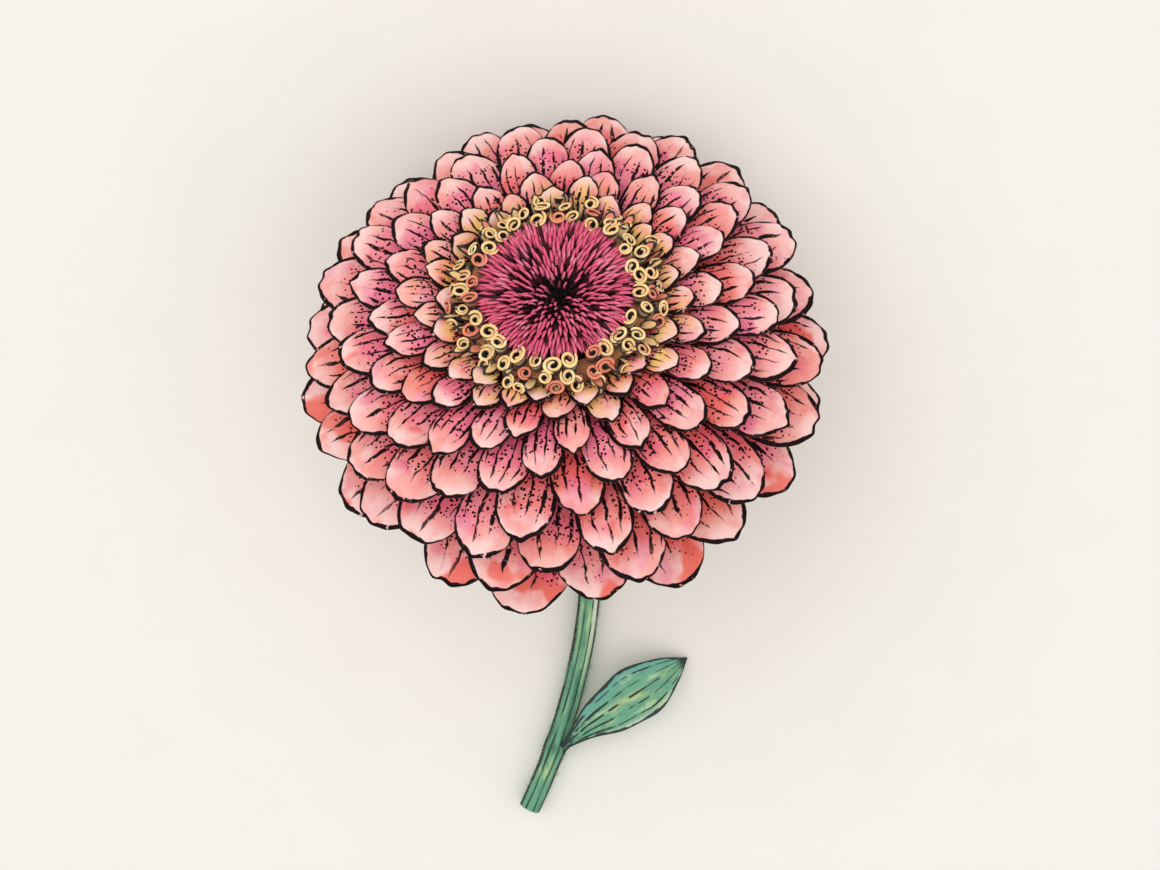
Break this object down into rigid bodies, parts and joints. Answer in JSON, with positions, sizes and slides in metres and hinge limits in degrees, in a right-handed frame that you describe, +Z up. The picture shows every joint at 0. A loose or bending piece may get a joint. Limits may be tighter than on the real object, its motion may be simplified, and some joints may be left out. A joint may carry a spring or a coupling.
{
  "type": "cut zinnia flower",
  "caption": "Fully double cut zinnia bloom with layered petals, a ring of curled disc florets, a green cup and a short bent stem with a leaf, lying face up.",
  "frame": {"origin": "on the table, under the centre of the flower's bounding box as it lies", "axes": "+Z up, -Y from the bloom along the stem to its cut end, +X to the side that the leaf points to"},
  "size_m": [0.0994, 0.142, 0.0686],
  "materials": {
    "petals": "soft matte coral-pink petals, paler at the tips and rose at the base, with fine maroon veins",
    "disc_florets": "soft matte golden yellow",
    "disc_middle": "matte magenta scales, almost black at the centre",
    "involucre": "matte green bracts with dark margins",
    "stem": "ribbed fresh green stem with fine hairs",
    "leaf": "slightly rough green leaf with sunken veins"
  },
  "bodies": {
    "root": {"petals": "petals", "disc_florets": "disc_florets", "disc_middle": "disc_middle", "involucre": "involucre", "stem": "stem", "leaf": "leaf"}
  },
  "joints": []
}
